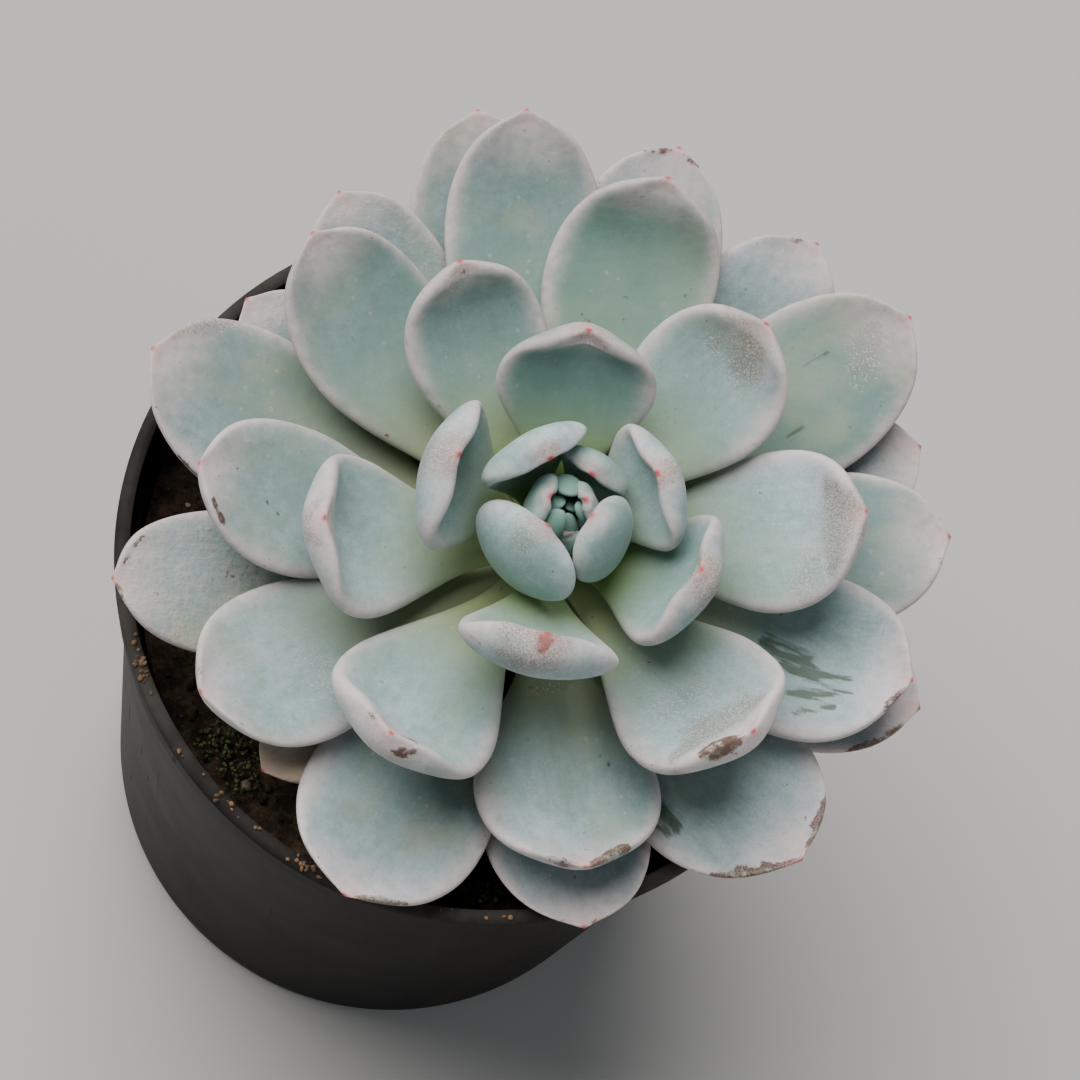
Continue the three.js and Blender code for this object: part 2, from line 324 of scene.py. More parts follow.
def leafRings(mesh):
    # the rings of the leaf's cage in order from the base to the tip, and the pole at each end
    shape = bmesh.new()
    shape.from_mesh(mesh)
    poles = sorted((v for v in shape.verts if len(v.link_edges) == ringCount), key=lambda v: v.co.z)
    base, tip = poles[0], poles[-1]
    rings = []
    seen = {base}
    front = [base]
    while True:
        ring = {e.other_vert(v) for v in front for e in v.link_edges} - seen
        if tip in ring:
            break
        seen |= ring
        ordered = [next(iter(ring))]
        while len(ordered) < len(ring):
            beside = [e.other_vert(ordered[-1]) for e in ordered[-1].link_edges]
            ordered.append(next(v for v in beside if v in ring and v not in ordered))
        rings.append([v.index for v in ordered])
        front = ordered
    poleNumbers = (base.index, tip.index)
    shape.free()
    return rings, poleNumbers


def fromLeftEdge(points, ring, across):
    # the ring again, from the leaf's right edge and along the underside first
    reach = [points[i] @ across for i in ring]
    start, end = int(np.argmin(reach)), int(np.argmax(reach))
    ring = ring[start:] + ring[:start]
    if (end - start) % len(ring) < len(ring) / 2:      # the upper face has fewer points
        ring = [ring[0]] + ring[:0:-1]
    return ring


def fitCage(grid):
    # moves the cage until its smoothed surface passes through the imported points
    cage = grid.copy()
    for _ in range(4):
        before, here, after = cage[:-2], cage[1:-1], cage[2:]
        beside = np.roll(here, 1, axis=1) + np.roll(here, -1, axis=1) + before + after
        corners = sum(np.roll(row, turn, axis=1) for row in (before, after) for turn in (1, -1))
        cage[1:-1] += grid[1:-1] - (16 * here + 4 * beside + corners) / 36
    return cage


def buildLeaf(name, age):
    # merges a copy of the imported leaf, joins its triangles to a grid of quads and smooths it
    piece = bpy.data.objects.new(name.replace("leaf", "skin"), nodes[name].data.copy())
    bpy.context.scene.collection.objects.link(piece)
    makeActive(piece)
    bpy.ops.object.mode_set(mode="EDIT")
    bpy.ops.mesh.select_all(action="SELECT")
    bpy.ops.mesh.remove_doubles(threshold=0.000002)
    bpy.ops.object.mode_set(mode="OBJECT")

    points = readVectors(piece.data, "co")
    rings, (basePole, tipPole) = leafRings(piece.data)
    out = points.mean(0) - np.array(rosetteAxis)
    out[2] = 0
    out /= np.linalg.norm(out)
    across = np.array([-out[1], out[0], 0])
    rings = [fromLeftEdge(points, ring, across) for ring in rings]

    grid = np.zeros((len(rings) + 2, ringCount, 3))
    grid[0], grid[-1] = points[basePole], points[tipPole]
    grid[1:-1] = points[rings]
    points[rings] = fitCage(grid)[1:-1]

    faces = []
    for side in range(ringCount):
        near = (side + 1) % ringCount
        faces.append((basePole, rings[0][near], rings[0][side]))
        faces.append((tipPole, rings[-1][side], rings[-1][near]))
        for here, further in zip(rings, rings[1:]):
            faces.append((here[side], here[near], further[near], further[side]))

    middles = grid.mean(1)
    steps = np.linalg.norm(np.diff(middles, axis=0), axis=1)
    reach = np.concatenate([[0], np.cumsum(steps)])
    halfWidths = np.abs((grid - middles[:, None]) @ across).max(1)
    run = np.zeros(len(points))
    offset = np.zeros(len(points))
    face = np.zeros(len(points))
    run[tipPole] = reach[-1]
    undersides = ringCount // 2 + 1
    for row, ring in enumerate(rings, 1):
        run[ring] = reach[row]
        offset[ring] = (grid[row] - middles[row]) @ across
        face[ring] = [0] + [-1] * (undersides - 1) + [0] + [1] * (ringCount - undersides - 1)

    mesh = bpy.data.meshes.new(piece.name)
    mesh.from_pydata([tuple(point) for point in points], [], faces)
    piece.data = mesh
    for key, values in (("run", run), ("offset", offset), ("face", face)):
        writeAttribute(mesh, key, values)
    crease = mesh.attributes.new("crease_vert", "FLOAT", "POINT")
    crease.data[tipPole].value = leafLook["tipCrease"]
    faceOutwards(piece)
    level = leafLook["subdivision"]
    applyModifier(piece, "SUBSURF", levels=level, render_levels=level)
    bpy.ops.object.shade_smooth()
    tier = name.split("_")[1]
    plump, end = leafLook["plump"][tier], leafLook["end"][tier]
    shapeSkin(piece.data, reach, halfWidths, plump, end, points[tipPole])
    softenEnd(piece, reach[-1], points[tipPole], leafLook["softening"][tier])
    paintLeaf(piece.data, name.replace("leaf_", ""), age, reach, halfWidths, grid[-1][0])
    return piece


def softenEnd(piece, length, tip, passes):
    # rounds the shoulders beside the point and leaves the point itself
    along = readAttribute(piece.data, "run") / length
    fromTip = np.linalg.norm(readVectors(piece.data, "co") - tip, axis=1)
    share = smoothStep(0.55, 0.85, along) * smoothStep(0.0002, 0.0014, fromTip)
    group = piece.vertex_groups.new(name="end")
    for number in np.nonzero(share)[0]:
        group.add([int(number)], share[number], "REPLACE")
    applyModifier(piece, "SMOOTH", factor=0.5, iterations=passes, vertex_group="end")
    piece.vertex_groups.clear()


def sideShare(mesh, reach, halfWidths):
    # how far across the leaf each point lies, from -1 to 1
    widths = np.interp(readAttribute(mesh, "run"), reach, halfWidths)
    return np.clip(readAttribute(mesh, "offset") / np.maximum(widths, 0.0004), -1, 1)


def shapeSkin(mesh, reach, halfWidths, plump, end, tip):
    # blunt fleshy margins, and slight swells and hollows
    points = readVectors(mesh, "co")
    normals = readVectors(mesh, "normal")
    along = readAttribute(mesh, "run") / reach[-1]
    side = np.abs(sideShare(mesh, reach, halfWidths))
    rounded = np.maximum(smoothStep(0.2, 1.0, side), smoothStep(0.6, 0.97, along) * 0.8)
    flesh = plump * rounded * smoothStep(0.25, 0.6, along) * smoothStep(1.0, 0.9, along)
    upper = np.clip(readAttribute(mesh, "face"), 0, 1)
    flesh *= 1 - 0.6 * upper                          # less on the upper face
    fromTip = np.linalg.norm(points - tip, axis=1)
    flesh += end * upper * smoothStep(0.78, 0.97, along) * smoothStep(0.0002, 0.0016, fromTip)
    swell = np.array([noise.noise(Vector(point) / leafLook["dentSize"]) for point in points])
    swell *= leafLook["dentDepth"] * smoothStep(0.1, 0.4, along) * smoothStep(1.0, 0.9, along)
    writePoints(mesh, points + normals * (flesh + swell)[:, None])


def strokeDistance(places, stroke):
    # how far each place is from a line through the stroke's points, which thins out towards its ends
    best = np.full(len(places), 1e9)
    stroke = stroke if len(stroke) > 1 else stroke * 2
    count = len(stroke) - 1
    for number, (start, end) in enumerate(zip(stroke, stroke[1:])):
        start, end = np.array(start), np.array(end)
        line = end - start
        share = np.clip((places - start) @ line / max(line @ line, 1e-12), 0, 1)
        distance = np.linalg.norm(places - start - share[:, None] * line, axis=1)
        if count > 1:
            distance /= 0.35 + 0.65 * np.sin(math.pi * (number + share) / count)
        best = np.minimum(best, distance)
    return best


def paintLeaf(mesh, name, age, reach, halfWidths, tip):
    # the places that the leaf's material reads
    run, offset = readAttribute(mesh, "run"), readAttribute(mesh, "offset")
    writeAttribute(mesh, "along", run / reach[-1])
    writeAttribute(mesh, "side", sideShare(mesh, reach, halfWidths))
    writeAttribute(mesh, "age", np.full(len(run), age))
    writeAttribute(mesh, "dry", np.full(len(run), dryLeaves.get(name, 0)))
    writeAttribute(mesh, "powder", np.full(len(run), powder.get(name, powder.get(name.split("_")[0], 1))))
    fromTip = np.linalg.norm(readVectors(mesh, "co") - tip, axis=1)
    writeAttribute(mesh, "tip", fromTip / leafLook["tips"])
    places = np.stack([run, offset], axis=1)
    layers = {kind: np.zeros(len(run)) for kind in ("scab", "bare", "rubbed", "dust", "red")}
    for kind, stroke, width, strength in leafMarks.get(name, []):
        line = []
        for at, sideways in stroke:
            here = at * reach[-1]
            line.append((here, sideways * np.interp(here, reach, halfWidths)))
        distance = strokeDistance(places, line) / (width * 0.001)
        far, near = (2.3, 0.2) if kind == "dust" else (1.7, 0.3)
        layers[kind] = np.maximum(layers[kind], strength * smoothStep(far, near, distance))
    for kind, values in layers.items():
        writeAttribute(mesh, kind, values)


def leafMaterial():
    look = leafLook
    s = Surface("leafSkin")
    along, side, age, tip = (s.attribute(name) for name in ("along", "side", "age", "tip"))
    broad = s.noise(75, 3)
    fine = s.noise(650, 6, 0.62)
    grain = s.noise(3200, 2, 0.7)
    streaks = s.noise(1100, 5, 0.6, s.combine(s.times(s.attribute("run"), 0.16), s.attribute("offset"), 0))
    uneven = s.math("SUBTRACT", broad, 0.5)
    ragged = s.times(s.math("SUBTRACT", fine, 0.5), 1.3)

    # skin, greener and warmer towards the base
    skin = s.mix(age, look["skinCore"], look["skinOuter"])
    base = s.mix(age, look["base"], look["baseOuter"])
    skin = s.mix(s.ramp(along, 0.68, 0.1, 0, 0.9), skin, base)
    # painted glow: green light deep between the young leaves, painted into the skin's colour near their
    # bases
    young = s.times(s.ramp(age, 0.62, 0.25), s.ramp(along, 0.45, 0.1))
    skin = s.mix(s.times(young, 0.75), skin, look["glow"])

    # powder: thicker on the outer half, clouded, streaky and finely grained
    bloom = s.mix(age, look["bloomCore"], look["bloomOuter"])
    cloud = s.ramp(s.plus(broad, s.times(fine, 0.6)), 0.55, 1.05, 0.45, 1.0)
    # a low powder value darkens a leaf: partly real powder, partly painted shade
    cover = s.times(s.ramp(along, 0.15, 0.95, 0.06, 0.96), s.times(cloud, s.attribute("powder")))
    cover = s.times(cover, s.ramp(streaks, 0.3, 0.62, 0.82, 1.0))
    cover = s.times(cover, s.ramp(grain, 0.3, 0.6, 0.76, 1.0))
    shade = s.mix(cover, skin, bloom)

    warm = s.times(s.ramp(s.noise(58, 4, 0.6), 0.46, 0.66), s.ramp(age, 0.2, 0.9, 0.1, 0.5))
    shade = s.mix(warm, shade, look["warm"])

    # rosy powder on the margins and round the point
    edge = s.plus(s.times(side, side), s.times(uneven, 0.6))
    rim = s.times(s.ramp(edge, 0.45, 1.0), s.ramp(along, 0.2, 0.7))
    end = s.ramp(s.plus(along, s.times(uneven, 0.16)), 0.8, 1.0)
    rosy = s.times(s.math("MAXIMUM", rim, end), s.ramp(fine, 0.3, 0.6, 0.45, 0.72))
    rosy = s.times(rosy, s.ramp(age, 0.0, 0.4, 0.15, 1.0))
    shade = s.mix(rosy, shade, look["margin"])

    grime = s.ramp(s.plus(edge, s.times(ragged, 0.7)), 0.95, 1.3)
    shade = s.mix(s.times(grime, s.ramp(age, 0.45, 1.0, 0.0, 0.55)), shade, look["bare"])

    # pale spots left by drops, and dark pores
    drops = s.ramp(s.plus(s.cells(look["dropSpots"]), s.times(ragged, 0.15)), 0.19, 0.06)
    spots = s.times(drops, s.ramp(s.noise(130, 2), 0.47, 0.6))
    shade = s.mix(s.times(spots, s.times(age, 0.36)), shade, look["margin"])
    pores = s.ramp(s.cells(look["dropSpots"]), 0.1, 0.05)
    pores = s.times(pores, s.ramp(s.noise(60, 2), 0.54, 0.66))
    shade = s.mix(s.times(pores, 0.5), shade, look["bare"])

    # dried skin on the oldest leaves
    dry = s.attribute("dry")
    parched = s.ramp(s.plus(dry, s.times(ragged, 0.6)), 0.1, 0.95)
    shade = s.mix(s.times(parched, 0.85), shade, look["dry"])

    # marks: rubbed streaks, gritty dust, bare margins, scabs
    brushed = s.times(s.math("SUBTRACT", streaks, 0.5), 2.6)
    rubbed = s.ramp(s.plus(s.attribute("rubbed"), brushed), 0.4, 0.95)
    rubbed = s.times(rubbed, s.ramp(s.attribute("rubbed"), 0.05, 0.5))
    shade = s.mix(s.times(rubbed, 0.84), shade, look["rubbed"])
    speckle = s.ramp(s.noise(5200, 1), 0.42, 0.6)
    dustPlace = s.attribute("dust")
    dust = s.times(s.ramp(s.plus(dustPlace, ragged), 0.25, 1.0), s.ramp(dustPlace, 0.02, 0.4))
    shade = s.mix(s.times(dust, s.ramp(speckle, 0, 1, 0.3, 0.74)), shade, look["dust"])
    flecks = s.times(s.ramp(dustPlace, 0.02, 0.4), s.ramp(s.noise(3700, 1), 0.58, 0.68))
    shade = s.mix(s.times(flecks, 0.55), shade, look["margin"])
    torn = s.times(ragged, look["ragged"])
    bare = s.ramp(s.plus(s.attribute("bare"), torn), 0.45, 0.95)
    bareShade = s.mix(s.ramp(fine, 0.4, 0.6), look["bare"], look["scab"])
    shade = s.mix(s.times(bare, s.ramp(speckle, 0, 1, 0.75, 0.95)), shade, bareShade)
    scab = s.ramp(s.plus(s.attribute("scab"), torn), 0.45, 0.95)
    scabShade = s.mix(s.ramp(s.noise(1400, 3), 0.5, 0.66), look["scab"], look["dust"])
    shade = s.mix(s.times(scab, 0.92), shade, scabShade)
    red = s.ramp(s.plus(s.attribute("red"), s.times(ragged, 1.6)), 0.3, 1.1)
    shade = s.mix(s.times(red, 0.85), shade, look["red"])
    blush = s.ramp(s.plus(tip, s.times(fine, 3.0)), 6.0, 1.5, 0, 0.4)
    shade = s.mix(blush, shade, look["blush"])
    point = s.ramp(s.plus(tip, s.times(fine, 0.6)), 1.5, 0.7)
    shade = s.mix(point, shade, look["point"])

    worn = s.math("MAXIMUM", rubbed, bare)
    rough = s.plus(s.times(worn, -0.2), s.ramp(fine, 0.3, 0.7, look["roughness"], look["roughness"] + 0.12))
    normal = s.bump(s.noise(240, 3), 0.2, 0.0008)
    normal = s.bump(fine, 0.14, 0.0004, normal)
    normal = s.bump(grain, 0.12, 0.0001, normal)
    normal = s.bump(s.times(parched, streaks), 0.6, 0.001, normal)
    normal = s.bump(s.plus(scab, s.times(dust, 0.3)), 0.3, 0.0003, normal)
    return s.finish(
        Base_Color=shade, Roughness=rough, Normal=normal, Specular_IOR_Level=0.28,
        Sheen_Weight=look["sheen"], Sheen_Roughness=0.45, Subsurface_Weight=0.12,
        Subsurface_Radius=look["flesh"], Subsurface_Scale=look["fleshDepth"])


def buildLeaves():
    tiers = ["heart", "core", "inner", "middle", "broad", "outer", "lowest"]
    material = leafMaterial()
    names = sorted(name for name in nodes if name.startswith("leaf_"))
    for name in names:
        age = tiers.index(name.split("_")[1]) / (len(tiers) - 1)
        finishPiece(buildLeaf(name, age), name, material)
    buildBuds(material)
    print("leaves done:", len(names))


budLook = {
    "count": 7,
    "first": 86,            # the first one's direction in degrees
    "turn": 137.5,          # degrees from one bud to the next
    "height": 0.0076,
    "width": 0.0041,
    "ring": 0.0027,         # how far the outermost stands from the middle
    "lift": 0.0022,         # how far above the stem's top its middle is
    "thickness": 0.66,      # as a share of the width
    "lean": 0.0014,
    "wrap": 90,
    "shrink": 0.5,          # the innermost is this much smaller, or nearly
}


def buildBuds(material):
    # the unopened leaves over the stem's growing tip
    look = budLook
    deselectAll()
    bpy.ops.mesh.primitive_uv_sphere_add(segments=20, ring_count=14, radius=0.5)
    pattern = bpy.context.object
    bpy.ops.object.mode_set(mode="EDIT")
    bpy.ops.transform.resize(value=(look["width"] * look["thickness"], look["width"], look["height"]))
    bpy.ops.mesh.select_all(action="DESELECT")
    bpy.ops.object.mode_set(mode="OBJECT")
    points = readVectors(pattern.data, "co")
    up = (points[:, 2] - points[:, 2].min()) / look["height"]
    points[:, 0] += 0.0011 * np.sin(up * math.pi) - look["lean"] * up ** 3     # leans over the middle
    points[:, 0] -= look["wrap"] * points[:, 1] ** 2                           # wraps round it
    writePoints(pattern.data, points)
    for number in range(look["count"]):
        angle = math.radians(look["turn"] * number + look["first"])
        inwards = number / look["count"]
        away = look["ring"] * (1 - 0.75 * inwards)
        height = stemHigh.z + look["lift"] - 0.0014 * inwards
        place = rosetteAxis + Vector((math.cos(angle) * away, math.sin(angle) * away, height))
        move = Matrix.Translation(place) @ Matrix.Rotation(angle, 4, "Z")
        move = move @ Matrix.Scale(1 - look["shrink"] * inwards, 4)
        bud = bpy.data.objects.new("bud_%02d" % (number + 1), pattern.data.copy())
        bpy.context.scene.collection.objects.link(bud)
        bud.data.transform(move)
        makeActive(bud)
        bpy.ops.object.shade_smooth()
        count = len(up)
        writeAttribute(bud.data, "along", 0.25 + 0.55 * up)
        writeAttribute(bud.data, "powder", np.full(count, 0.25))
        writeAttribute(bud.data, "side", np.zeros(count))
        writeAttribute(bud.data, "age", np.zeros(count))
        writeAttribute(bud.data, "tip", np.full(count, 20))
        finishPiece(bud, None, material)
    bpy.data.objects.remove(pattern)


potLook = {
    "sides": 160,
    "baseRadius": 0.038,
    "collar": 0.008,        # upright band under the rim
    "bead": 0.0006,
    "wall": 0.0013,
    "floor": 0.0018,
    "drainHoles": 6,
    "drainRadius": 0.004,
    "drainRing": 0.024,
    "plastic": colour(30, 28, 27),
    # light grey: the colour of fine scratches, and of the painted highlight along the rim's top
    "edge": colour(88, 84, 80),
    "film": colour(66, 57, 49),
    "roughness": 0.36,
}


def potMaterial():
    look = potLook
    s = Surface("potPlastic")
    film = s.noise(70, 6, 0.65)
    streaks = s.noise(60, 5, 0.6, s.stretched(1, 1, 0.12))
    specks = s.times(s.ramp(s.cells(700), 0.12, 0.05), s.ramp(s.noise(90, 3), 0.52, 0.64))
    scratches = s.ramp(s.noise(900, 2, 0.5, s.stretched(1, 1, 0.03)), 0.66, 0.72)
    scratches = s.times(scratches, s.ramp(s.noise(45, 2), 0.5, 0.62))
    cover = s.times(s.ramp(film, 0.42, 0.7), s.ramp(streaks, 0.4, 0.65, 0.05, 0.45))
    shade = s.mix(cover, look["plastic"], look["film"])
    shade = s.mix(s.times(specks, 0.5), shade, look["film"])
    shade = s.mix(s.times(scratches, 0.22), shade, look["edge"])
    # painted highlight: the rim's top lightened towards the edge colour
    shade = s.mix(s.times(s.attribute("rim"), s.ramp(film, 0.3, 0.7, 0.1, 0.5)), shade, look["edge"])
    rough = s.ramp(film, 0.3, 0.75, look["roughness"], look["roughness"] + 0.06)
    rough = s.plus(rough, s.times(scratches, 0.15))
    normal = s.bump(s.noise(30, 2), 0.015, 0.0015)
    normal = s.bump(s.noise(1400, 2), 0.05, 0.0002, normal)
    normal = s.bump(s.plus(scratches, specks), 0.15, 0.0001, normal)
    return s.finish(Base_Color=shade, Roughness=rough, Normal=normal, Specular_IOR_Level=0.012)


def potProfile():
    # (radius, height) up the outside, over the rim and down the inside
    look = potLook
    rim = (potHigh.x - potLow.x) / 2
    top = potHigh.z
    band = rim - look["bead"]
    step = top - look["collar"]
    body = band - 0.0014
    lift = (body - look["baseRadius"]) / step         # how fast the wall widens upwards
    inner = band - look["wall"]
    base = look["baseRadius"]
    foot = base - look["wall"]
    return [
        (base - 0.0012, 0), (base - 0.0004, 0.0003), (base, 0.001),
        (base + lift * 0.003, 0.003), (base + lift * 0.04, 0.04),
        (body, step), (body + 0.0003, step + 0.0004), (band - 0.0003, step + 0.001), (band, step + 0.0015),
        (band, top - 0.002), (band + 0.0002, top - 0.0015), (rim, top - 0.0011), (rim, top - 0.0006),
        (rim - 0.0003, top - 0.0002), (rim - 0.0007, top),
        (inner + 0.0004, top), (inner + 0.0001, top - 0.0002), (inner, top - 0.0007),
        (inner, step + 0.0018), (inner - 0.0003, step + 0.0013),
        (body - look["wall"] + 0.0003, step + 0.0006), (body - look["wall"], step),
        (base + lift * 0.04 - look["wall"], 0.04),
        (foot, look["floor"] + 0.001), (foot - 0.0008, look["floor"]),
    ]


def buildPot():
    look = potLook
    profile = potProfile()
    radius, height = profile[0]
    deselectAll()
    bpy.ops.mesh.primitive_circle_add(vertices=look["sides"], radius=radius, fill_type="NOTHING")
    pot = bpy.context.object
    pot.name = "potShell"
    bpy.ops.object.mode_set(mode="EDIT")
    bpy.ops.mesh.select_mode(type="EDGE")
    bpy.ops.mesh.select_all(action="SELECT")
    for nextRadius, nextHeight in profile[1:]:
        bpy.ops.mesh.extrude_region_move(TRANSFORM_OT_translate={"value": (0, 0, nextHeight - height)})
        share = nextRadius / radius
        bpy.ops.transform.resize(value=(share, share, 1))
        radius, height = nextRadius, nextHeight
    bpy.ops.mesh.edge_face_add()
    bpy.ops.mesh.select_all(action="DESELECT")
    bpy.ops.mesh.select_non_manifold()
    bpy.ops.mesh.edge_face_add()
    bpy.ops.object.mode_set(mode="OBJECT")
    faceOutwards(pot)

    # drain holes through the floor
    for number in range(look["drainHoles"]):
        angle = 2 * math.pi * number / look["drainHoles"]
        x, y = math.cos(angle) * look["drainRing"], math.sin(angle) * look["drainRing"]
        bpy.ops.mesh.primitive_cylinder_add(
            vertices=40, radius=look["drainRadius"], depth=look["floor"] * 3,
            location=(x, y, look["floor"] / 2))
        drill = bpy.context.object
        applyModifier(pot, "BOOLEAN", operation="DIFFERENCE", object=drill, solver="EXACT")
        bpy.data.objects.remove(drill)
    makeActive(pot)
    bpy.ops.object.shade_smooth_by_angle(angle=math.radians(40))
    points = readVectors(pot.data, "co")
    # where the rim's painted highlight lies, on the top of the rim
    writeAttribute(pot.data, "rim", smoothStep(potHigh.z - 0.0018, potHigh.z - 0.0006, points[:, 2]))
    finishPiece(pot, "pot", potMaterial())
    print("pot done")


soilLook = {
    "cells": 150,           # squares across the sheet that the soil is made from
    "edgeHeight": 0.082,
    "crown": 0.0025,
    "topRadius": 0.0412,
    "bottomRadius": 0.0363,
    "lump": 0.0012,
    "crumbs": 1500,
    "grit": 70,
    "mossPatches": 17,
    "mossLit": 12,          # how many of them lie where the soil is open to light
    "mossTufts": 110,       # tufts in a patch of the middle size
    "clear": 0.0085,        # no crumbs this near the stem's middle
    "rimCrumbs": [(199, 2.0, 26), (240, 1.5, 18), (228, 6, 12), (265, 20, 16)],    # angle, spread, number
    "rimDirt": colour(150, 116, 88),
    "dark": colour(44, 35, 27),
    "light": colour(98, 80, 62),
    "grain": colour(168, 148, 122),
    "gritShade": colour(96, 84, 68),
    "moss": colour(94, 106, 68),
    "mossDark": colour(44, 53, 34),
}


def soilHeight(x, y):
    look = soilLook
    share = min(1, math.hypot(x, y) / look["topRadius"])
    height = look["edgeHeight"] + look["crown"] * math.sin((1 - share) * math.pi / 2)
    lumps = noise.noise(Vector((x, y, 0)) * 190) * 0.6 + noise.noise(Vector((x, y, 0.1)) * 480) * 0.4
    fromStem = math.hypot(x - rosetteAxis.x, y - rosetteAxis.y)
    calm = min(1, max(0, (fromStem - 0.006) / 0.004))
    return height + lumps * look["lump"] * calm - 0.0003


def soilMaterial():
    look = soilLook
    s = Surface("pottingSoil")
    lumps = s.noise(420, 9, 0.72)
    fine = s.noise(2400, 3, 0.7)
    shade = s.mix(s.ramp(lumps, 0.38, 0.68), look["dark"], look["light"])
    shade = s.mix(s.times(s.ramp(fine, 0.62, 0.72), 0.35), shade, look["grain"])
    normal = s.bump(lumps, 0.9, 0.0025)
    normal = s.bump(fine, 0.5, 0.0005, normal)
    return s.finish(Base_Color=shade, Roughness=0.93, Normal=normal, Specular_IOR_Level=0.2)


def grainMaterial(name, first, second, scale):
    s = Surface(name)
    shade = s.mix(s.ramp(s.noise(scale, 4), 0.35, 0.65), first, second)
    normal = s.bump(s.noise(1800, 4, 0.7), 0.7, 0.0006)
    return s.finish(Base_Color=shade, Roughness=0.9, Normal=normal, Specular_IOR_Level=0.2)


def grainPattern(seed):
    # one rough grain, a millimetre across
    deselectAll()
    bpy.ops.mesh.primitive_ico_sphere_add(subdivisions=1, radius=0.0005)
    grain = bpy.context.object
    chance = random.Random(seed)
    bpy.ops.object.mode_set(mode="EDIT")
    bpy.ops.transform.resize(value=(1, chance.uniform(0.6, 0.9), chance.uniform(0.5, 0.8)))
    bpy.ops.transform.vertex_random(offset=0.00009, seed=seed)
    bpy.ops.object.mode_set(mode="OBJECT")
    return grain


def scatter(name, patterns, places, material):
    # copies of the patterns at the places, joined as one piece
    points = []
    faces = []
    shapes = [(readVectors(p.data, "co"), [tuple(f.vertices) for f in p.data.polygons]) for p in patterns]
    for number, place in enumerate(places):
        corners, sides = shapes[number % len(shapes)]
        start = len(points)
        turned = corners @ np.array(place.to_3x3()).T + np.array(place.translation)
        points.extend(map(tuple, turned))
        faces.extend(tuple(start + corner for corner in side) for side in sides)
    mesh = bpy.data.meshes.new(name)
    mesh.from_pydata(points, [], faces)
    piece = bpy.data.objects.new(name, mesh)
    bpy.context.scene.collection.objects.link(piece)
    makeActive(piece)
    bpy.ops.object.shade_smooth()
    finishPiece(piece, None, material)
    return piece


def grainPlace(chance, x, y, height, size):
    turn = Matrix.Rotation(chance.uniform(0, math.tau), 4, "Z")
    turn = turn @ Matrix.Rotation(chance.uniform(-0.6, 0.6), 4, "X")
    return Matrix.Translation((x, y, height)) @ turn @ Matrix.Scale(size, 4)


def randomSpots(chance, count, radius):
    spots = []
    while len(spots) < count:
        angle, reach = chance.uniform(0, math.tau), radius * math.sqrt(chance.random())
        x, y = math.cos(angle) * reach, math.sin(angle) * reach
        if math.hypot(x - rosetteAxis.x, y - rosetteAxis.y) > soilLook["clear"]:
            spots.append((x, y))
    return spots


def buildSoil():
    look = soilLook
    deselectAll()
    bpy.ops.mesh.primitive_grid_add(x_subdivisions=look["cells"], y_subdivisions=look["cells"], size=2)
    soil = bpy.context.object
    soil.name = "soilBody"
    points = readVectors(soil.data, "co")
    x, y = points[:, 0].copy(), points[:, 1].copy()
    points[:, 0] = x * np.sqrt(1 - y * y / 2) * look["topRadius"]      # rounds the square sheet into a disc
    points[:, 1] = y * np.sqrt(1 - x * x / 2) * look["topRadius"]
    points[:, 2] = [soilHeight(px, py) for px, py in points[:, :2]]
    writePoints(soil.data, points)
    bpy.ops.object.mode_set(mode="EDIT")
    bpy.ops.mesh.select_mode(type="EDGE")
    bpy.ops.mesh.select_all(action="DESELECT")
    bpy.ops.mesh.select_non_manifold()
    down = soilLow.z - look["edgeHeight"]
    bpy.ops.mesh.extrude_region_move(TRANSFORM_OT_translate={"value": (0, 0, down)})
    shrink = look["bottomRadius"] / look["topRadius"]
    bpy.ops.transform.resize(value=(shrink, shrink, 0), center_override=(0, 0, soilLow.z))
    bpy.ops.mesh.edge_face_add()
    bpy.ops.object.mode_set(mode="OBJECT")
    faceOutwards(soil)
    bpy.ops.object.shade_smooth_by_angle(angle=math.radians(70))
    earth = soilMaterial()
    finishPiece(soil, "soil", earth)

    chance = random.Random(4)
    patterns = [grainPattern(seed) for seed in range(6)]
    crumbs = []
    for px, py in randomSpots(chance, look["crumbs"], look["topRadius"] - 0.0012):
        size = 0.5 + 1.7 * chance.random() ** 3
        crumbs.append(grainPlace(chance, px, py, soilHeight(px, py) + 0.00012 * size, size))
    scatter("soilCrumbs", patterns, crumbs, earth)
    grit = []
    for px, py in randomSpots(chance, look["grit"], look["topRadius"] - 0.0015):
        size = chance.uniform(0.8, 1.9)
        grit.append(grainPlace(chance, px, py, soilHeight(px, py) + 0.0002 * size, size))
    paleGrit = grainMaterial("paleGrit", look["grain"], look["gritShade"], 300)
    scatter("soilGrit", patterns, grit, paleGrit)
    buildMoss(chance, patterns)
    buildRimCrumbs(chance, patterns)
    for pattern in patterns:
        bpy.data.objects.remove(pattern)
    print("soil done")


def buildRimCrumbs(chance, patterns):
    # dirt left on the pot's rim
    look = soilLook
    crumbs = []
    for middle, spread, count in look["rimCrumbs"]:
        for _ in range(count):
            angle = math.radians(chance.gauss(middle, spread))
            reach = potHigh.x - chance.uniform(0.0003, 0.0016)
            x, y = math.cos(angle) * reach, math.sin(angle) * reach
            size = chance.uniform(0.3, 0.9)
            crumbs.append(grainPlace(chance, x, y, potHigh.z + 0.0001 * size, size))
    dirt = grainMaterial("rimDirt", look["rimDirt"], look["light"], 700)
    scatter("rimCrumbs", patterns, crumbs, dirt)


